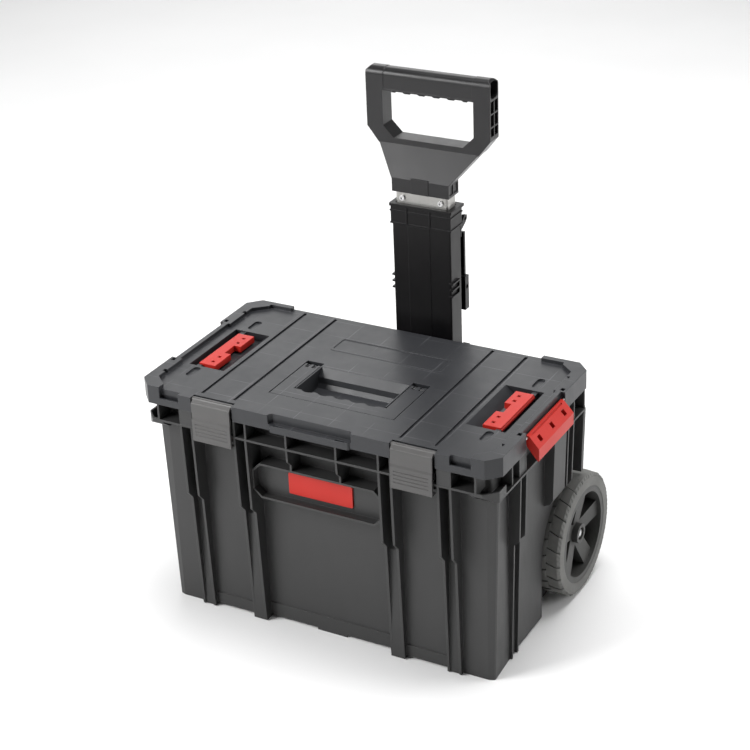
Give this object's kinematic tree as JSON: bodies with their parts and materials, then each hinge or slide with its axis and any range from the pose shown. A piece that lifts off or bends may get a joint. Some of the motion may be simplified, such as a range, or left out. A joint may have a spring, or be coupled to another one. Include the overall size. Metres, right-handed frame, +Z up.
{
  "type": "rolling tool box",
  "caption": "Ribbed plastic tool box on two wheels with a hinged latching lid, a fold-up carry handle, top and side locks and a two-stage pull handle.",
  "frame": {"origin": "on the floor under the middle of the closed lid, centred left to right", "axes": "+Z up, -Y towards the latches at the front, +X to the right seen from the front"},
  "size_m": [0.5548, 0.3773, 0.6919],
  "materials": {
    "tub_plastic": "fine spark grain, satin",
    "lid_plastic": "satin moulded",
    "latch_plastic": "matte",
    "red_plastic": "satin",
    "handle_plastic": "matte",
    "grip_plastic": "satin",
    "wheel_plastic": "matte",
    "tyre_rubber": "matte rubber",
    "seal_rubber": "matte",
    "steel": "zinc plated",
    "aluminium": "anodised satin"
  },
  "bodies": {
    "tub": {"tub": "tub_plastic", "badge_plate": "red_plastic", "axle": "steel", "axle_washers": "steel", "axle_nuts": "steel", "hinge_pins": "steel", "handle_rail": "handle_plastic", "rail_screws": "steel"},
    "lid": {"lid_shell": "lid_plastic", "lid_seal": "seal_rubber", "latch_pins": "steel", "carry_handle_pins": "steel", "top_lock_pins": "steel", "side_catch_pins": "steel"},
    "latch_right": {"latch_right": "latch_plastic"},
    "latch_left": {"latch_left": "latch_plastic"},
    "carry_handle": {"carry_handle": "lid_plastic"},
    "top_lock_right": {"top_lock_right": "red_plastic"},
    "top_lock_left": {"top_lock_left": "red_plastic"},
    "side_catch_right": {"side_catch_right": "red_plastic"},
    "side_catch_left": {"side_catch_left": "red_plastic"},
    "wheel_right": {"wheel_rim_right": "wheel_plastic", "wheel_tyre_right": "tyre_rubber", "wheel_bush_right": "handle_plastic"},
    "wheel_left": {"wheel_rim_left": "wheel_plastic", "wheel_tyre_left": "tyre_rubber", "wheel_bush_left": "handle_plastic"},
    "sleeve": {"sleeve": "handle_plastic", "sleeve_collar": "handle_plastic", "sleeve_clip": "handle_plastic"},
    "tube": {"inner_tube": "aluminium", "tube_screws": "steel", "tube_foot": "handle_plastic", "grip": "grip_plastic", "release_springs": "steel"},
    "release": {"release_bar": "handle_plastic"}
  },
  "joints": [
    {"name": "lid_hinge", "type": "hinge", "parent": "tub", "child": "lid", "pos_m": [0, 0.1475, 0.3164], "axis": [-1, 0, 0], "range_deg": [0, 88]},
    {"name": "latch_right_hinge", "type": "hinge", "parent": "lid", "child": "latch_right", "pos_m": [0.147, -0.1415, 0.3322], "axis": [-1, 0, 0], "range_deg": [0, 100]},
    {"name": "latch_left_hinge", "type": "hinge", "parent": "lid", "child": "latch_left", "pos_m": [-0.147, -0.1415, 0.3322], "axis": [-1, 0, 0], "range_deg": [0, 100]},
    {"name": "carry_handle_hinge", "type": "hinge", "parent": "lid", "child": "carry_handle", "pos_m": [0, 0.0035, 0.3315], "axis": [1, 0, 0], "range_deg": [-90, 0]},
    {"name": "top_lock_right_hinge", "type": "hinge", "parent": "lid", "child": "top_lock_right", "pos_m": [0.2224, -0.004, 0.331], "axis": [0, -1, 0], "range_deg": [-90, 0]},
    {"name": "top_lock_left_hinge", "type": "hinge", "parent": "lid", "child": "top_lock_left", "pos_m": [-0.2224, -0.004, 0.331], "axis": [0, 1, 0], "range_deg": [-90, 0]},
    {"name": "side_catch_right_hinge", "type": "hinge", "parent": "lid", "child": "side_catch_right", "pos_m": [0.2608, -0.001, 0.3308], "axis": [0, -1, 0], "range_deg": [0, 75]},
    {"name": "side_catch_left_hinge", "type": "hinge", "parent": "lid", "child": "side_catch_left", "pos_m": [-0.2608, -0.001, 0.3308], "axis": [0, 1, 0], "range_deg": [0, 75]},
    {"name": "wheel_right_spin", "type": "hinge", "parent": "tub", "child": "wheel_right", "pos_m": [0.24375, 0.13, 0.0882], "axis": [1, 0, 0], "continuous": true},
    {"name": "wheel_left_spin", "type": "hinge", "parent": "tub", "child": "wheel_left", "pos_m": [-0.24375, 0.13, 0.0882], "axis": [1, 0, 0], "continuous": true},
    {"name": "sleeve_slide", "type": "slide", "parent": "tub", "child": "sleeve", "axis": [0, 0, 1], "range_m": [-0.168, 0]},
    {"name": "tube_slide", "type": "slide", "parent": "sleeve", "child": "tube", "axis": [0, 0, 1], "range_m": [0, 0.28]},
    {"name": "release_squeeze", "type": "slide", "parent": "tube", "child": "release", "axis": [0, 0, 1], "range_m": [0, 0.006], "stiffness_N_per_m": 400, "springref_m": -0.004, "deforming": ["release_springs"]}
  ]
}
